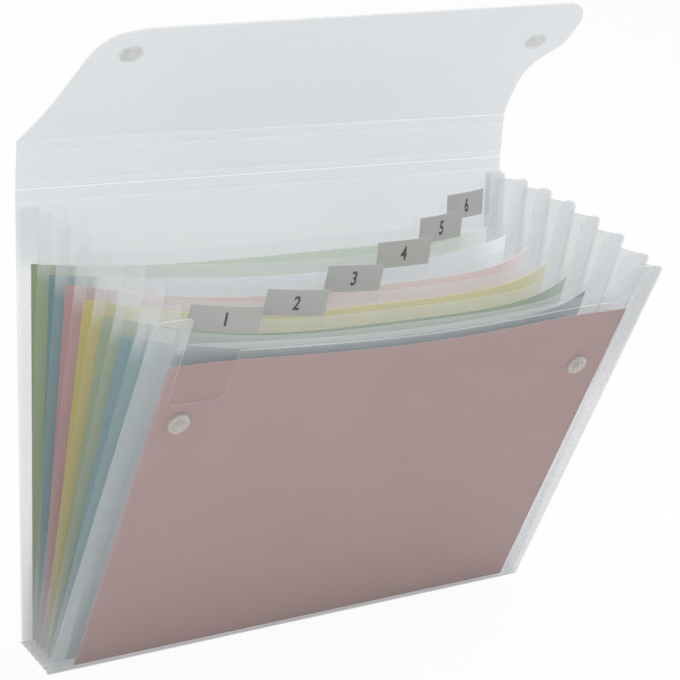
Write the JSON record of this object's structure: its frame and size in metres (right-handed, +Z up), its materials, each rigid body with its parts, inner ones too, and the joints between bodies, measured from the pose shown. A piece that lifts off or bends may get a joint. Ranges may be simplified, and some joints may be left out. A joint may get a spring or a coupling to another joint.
{
  "type": "accordion file folder",
  "caption": "Expanding file of frosted film with a pleated base and sides, numbered dividers holding coloured sheets, a thumb notch and a fold-over flap that closes on press studs.",
  "frame": {"origin": "on the table, in the middle of the base fold under the middle pocket, halfway across the width", "axes": "+X to the right of someone facing the front cover, +Y to the back cover, +Z up"},
  "size_m": [0.325, 0.1583, 0.361],
  "materials": {
    "cover_film": "frosted clear polypropylene, finely grained",
    "divider_film": "frosted clear polypropylene, thin",
    "pleat_film": "frosted clear polypropylene, thin, spot welded",
    "sleeve_film": "clear film",
    "label_card": "matt printed card",
    "stud_plastic": "faintly yellow clear plastic",
    "pink_paper": "matt",
    "teal_paper": "matt",
    "green_paper": "matt",
    "yellow_paper": "matt",
    "blue_paper": "matt"
  },
  "bodies": {
    "base": {"base_gusset": "pleat_film"},
    "back": {"back_cover": "cover_film", "left_pleat_1": "pleat_film", "right_pleat_1": "pleat_film"},
    "pocket_6": {"divider_6": "divider_film", "tab_sleeve_6": "sleeve_film", "tab_label_6": "label_card", "sheet_6": "green_paper", "left_pleat_2": "pleat_film", "right_pleat_2": "pleat_film"},
    "pocket_5": {"divider_5": "divider_film", "tab_sleeve_5": "sleeve_film", "tab_label_5": "label_card", "sheet_5": "blue_paper", "left_pleat_3": "pleat_film", "right_pleat_3": "pleat_film"},
    "pocket_4": {"divider_4": "divider_film", "tab_sleeve_4": "sleeve_film", "tab_label_4": "label_card", "sheet_4": "pink_paper", "left_pleat_4": "pleat_film", "right_pleat_4": "pleat_film"},
    "pocket_3": {"divider_3": "divider_film", "tab_sleeve_3": "sleeve_film", "tab_label_3": "label_card", "sheet_3": "yellow_paper", "left_pleat_5": "pleat_film", "right_pleat_5": "pleat_film"},
    "pocket_2": {"divider_2": "divider_film", "tab_sleeve_2": "sleeve_film", "tab_label_2": "label_card", "sheet_2": "green_paper", "left_pleat_6": "pleat_film", "right_pleat_6": "pleat_film"},
    "pocket_1": {"divider_1": "divider_film", "tab_sleeve_1": "sleeve_film", "tab_label_1": "label_card", "sheet_1": "teal_paper", "left_pleat_7": "pleat_film", "right_pleat_7": "pleat_film"},
    "inner_front": {"front_panel": "divider_film", "left_pleat_8": "pleat_film", "right_pleat_8": "pleat_film"},
    "front": {"front_cover": "cover_film", "sheet_front": "pink_paper", "front_stud_posts": "stud_plastic", "front_stud_rings": "stud_plastic"},
    "strip": {"top_strip": "cover_film"},
    "flap": {"closing_flap": "cover_film", "flap_stud_caps": "stud_plastic", "flap_stud_sockets": "stud_plastic"}
  },
  "joints": [
    {"name": "front_fan", "type": "hinge", "parent": "base", "child": "front", "pos_m": [0, -0.00904, -0.01687], "axis": [-1, 0, 0], "range_deg": [0, 16.6], "deforming": ["base_gusset", "left_pleat_1", "right_pleat_1", "left_pleat_2", "right_pleat_2", "left_pleat_3", "right_pleat_3", "left_pleat_4", "right_pleat_4", "left_pleat_5", "right_pleat_5", "left_pleat_6", "right_pleat_6", "left_pleat_7", "right_pleat_7", "left_pleat_8", "right_pleat_8"]},
    {"name": "back_fan", "type": "hinge", "parent": "base", "child": "back", "pos_m": [0, 0.01429, -0.01726], "axis": [-1, 0, 0], "range_deg": [-12.05, 0.05]},
    {"name": "pocket_6_fan", "type": "hinge", "parent": "base", "child": "pocket_6", "pos_m": [0, 0.01257, -0.01732], "axis": [-1, 0, 0], "range_deg": [-11.25, 0.05]},
    {"name": "pocket_5_fan", "type": "hinge", "parent": "base", "child": "pocket_5", "pos_m": [0, 0.00933, -0.01755], "axis": [-1, 0, 0], "range_deg": [-7, 0.05]},
    {"name": "pocket_4_fan", "type": "hinge", "parent": "base", "child": "pocket_4", "pos_m": [0, 0.00611, -0.01768], "axis": [-1, 0, 0], "range_deg": [-2.75, 0.05]},
    {"name": "pocket_3_fan", "type": "hinge", "parent": "base", "child": "pocket_3", "pos_m": [0, 0.00289, -0.01769], "axis": [-1, 0, 0], "range_deg": [-0.05, 1.6]},
    {"name": "pocket_2_fan", "type": "hinge", "parent": "base", "child": "pocket_2", "pos_m": [0, -0.00033, -0.0176], "axis": [-1, 0, 0], "range_deg": [-0.05, 5.85]},
    {"name": "pocket_1_fan", "type": "hinge", "parent": "base", "child": "pocket_1", "pos_m": [0, -0.00356, -0.01739], "axis": [-1, 0, 0], "range_deg": [-0.05, 10.1]},
    {"name": "inner_front_fan", "type": "hinge", "parent": "base", "child": "inner_front", "pos_m": [0, -0.00681, -0.01708], "axis": [-1, 0, 0], "range_deg": [-0.05, 14.35]},
    {"name": "strip_fold", "type": "hinge", "parent": "back", "child": "strip", "pos_m": [0, 0.07032, 0.24635], "axis": [1, 0, 0], "range_deg": [-0.05, 69.85]},
    {"name": "flap_fold", "type": "hinge", "parent": "strip", "child": "flap", "pos_m": [0, 0.0734, 0.27216], "axis": [1, 0, 0], "range_deg": [-65, 56.65]}
  ],
  "couplings": [
    {"joint": "back_fan", "follows": "front_fan", "ratio": -0.72289},
    {"joint": "pocket_6_fan", "follows": "front_fan", "ratio": -0.6747},
    {"joint": "pocket_5_fan", "follows": "front_fan", "ratio": -0.41867},
    {"joint": "pocket_4_fan", "follows": "front_fan", "ratio": -0.16265},
    {"joint": "pocket_3_fan", "follows": "front_fan", "ratio": 0.093373},
    {"joint": "pocket_2_fan", "follows": "front_fan", "ratio": 0.3494},
    {"joint": "pocket_1_fan", "follows": "front_fan", "ratio": 0.60542},
    {"joint": "inner_front_fan", "follows": "front_fan", "ratio": 0.86145},
    {"joint": "strip_fold", "follows": "front_fan", "ratio": 4.2048}
  ]
}
